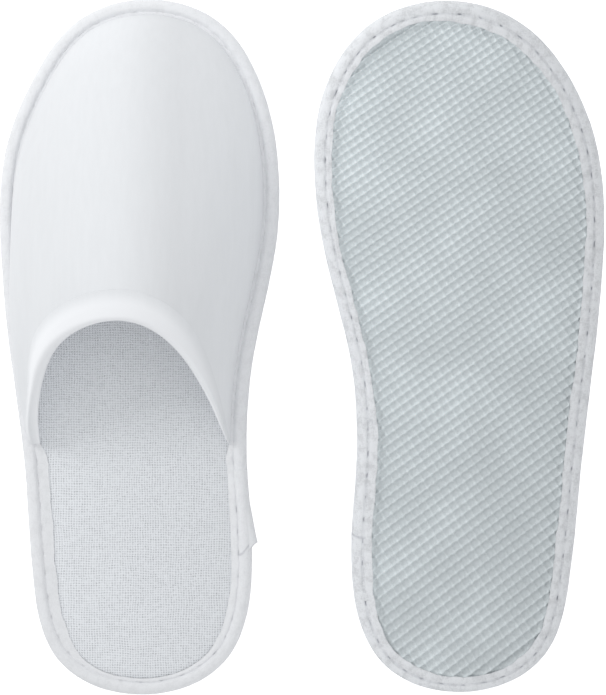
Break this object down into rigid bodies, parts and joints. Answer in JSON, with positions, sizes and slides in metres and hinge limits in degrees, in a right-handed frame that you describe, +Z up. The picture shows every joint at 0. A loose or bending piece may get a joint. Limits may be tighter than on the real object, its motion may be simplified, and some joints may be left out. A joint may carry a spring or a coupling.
{
  "type": "spa slippers",
  "caption": "Closed-toe spa slippers with padded velour vamp, fabric insole, taped edge and embossed foam outsole; one stands upright, the other lies upturned beside it.",
  "frame": {"origin": "middle of the upright slipper's tread, on the floor", "axes": "+Y towards the toes, +X from the upright slipper to the upturned one, +Z up"},
  "size_m": [0.2417, 0.2851, 0.0821],
  "materials": {
    "outsole_foam": "matte embossed",
    "midsole_sponge": "matte",
    "insole_fabric": "knitted, matte",
    "edge_tape": "non-woven, matte",
    "thread": "matte",
    "vamp_velour": "brushed velour",
    "vamp_sponge": "matte",
    "lining_fabric": "knitted, matte",
    "collar_velour": "brushed velour"
  },
  "bodies": {
    "upright_forefoot": {"upright_outsole_front": "outsole_foam", "upright_midsole_front": "midsole_sponge", "upright_insole_front": "insole_fabric", "upright_edge_tape_front": "edge_tape", "upright_top_stitches_front": "thread", "upright_under_stitches_front": "thread"},
    "upright_heel": {"upright_outsole_rear": "outsole_foam", "upright_midsole_rear": "midsole_sponge", "upright_insole_rear": "insole_fabric", "upright_edge_tape_rear": "edge_tape", "upright_top_stitches_rear": "thread", "upright_under_stitches_rear": "thread"},
    "upright_vamp": {"upright_vamp_shell": "vamp_velour", "upright_vamp_foam": "vamp_sponge", "upright_vamp_lining": "lining_fabric", "upright_collar_band": "collar_velour"},
    "upturned_forefoot": {"upturned_outsole_front": "outsole_foam", "upturned_midsole_front": "midsole_sponge", "upturned_insole_front": "insole_fabric", "upturned_edge_tape_front": "edge_tape", "upturned_top_stitches_front": "thread", "upturned_under_stitches_front": "thread"},
    "upturned_heel": {"upturned_outsole_rear": "outsole_foam", "upturned_midsole_rear": "midsole_sponge", "upturned_insole_rear": "insole_fabric", "upturned_edge_tape_rear": "edge_tape", "upturned_top_stitches_rear": "thread", "upturned_under_stitches_rear": "thread"},
    "upturned_vamp": {"upturned_vamp_shell": "vamp_velour", "upturned_vamp_foam": "vamp_sponge", "upturned_vamp_lining": "lining_fabric", "upturned_collar_band": "collar_velour"}
  },
  "joints": [
    {"name": "upright_sole_flex", "type": "hinge", "parent": "upright_forefoot", "child": "upright_heel", "pos_m": [0, -0.055, 0.0096], "axis": [-1, 0, 0], "range_deg": [0, 75], "stiffness_Nm_per_rad": 0.15},
    {"name": "upright_vamp_press", "type": "slide", "parent": "upright_forefoot", "child": "upright_vamp", "axis": [0, 0, -1], "range_m": [0, 0.03], "stiffness_N_per_m": 400, "deforming": ["upright_vamp_shell", "upright_vamp_foam", "upright_vamp_lining", "upright_collar_band"]},
    {"name": "upturned_turn_over", "type": "hinge", "parent": "upright_forefoot", "child": "upturned_forefoot", "pos_m": [0.1374, -0.00228, 0.02303], "axis": [0.0311, -0.991, -0.1305], "range_deg": [0, 180]},
    {"name": "upturned_sole_flex", "type": "hinge", "parent": "upturned_forefoot", "child": "upturned_heel", "pos_m": [0.13299, -0.05612, 0.0225], "axis": [0.9995, 0.0314, 0], "range_deg": [0, 75], "stiffness_Nm_per_rad": 0.15},
    {"name": "upturned_vamp_press", "type": "slide", "parent": "upturned_forefoot", "child": "upturned_vamp", "axis": [0.0081, -0.2587, 0.9659], "range_m": [0, 0.03], "stiffness_N_per_m": 400, "deforming": ["upturned_vamp_shell", "upturned_vamp_foam", "upturned_vamp_lining", "upturned_collar_band"]}
  ]
}
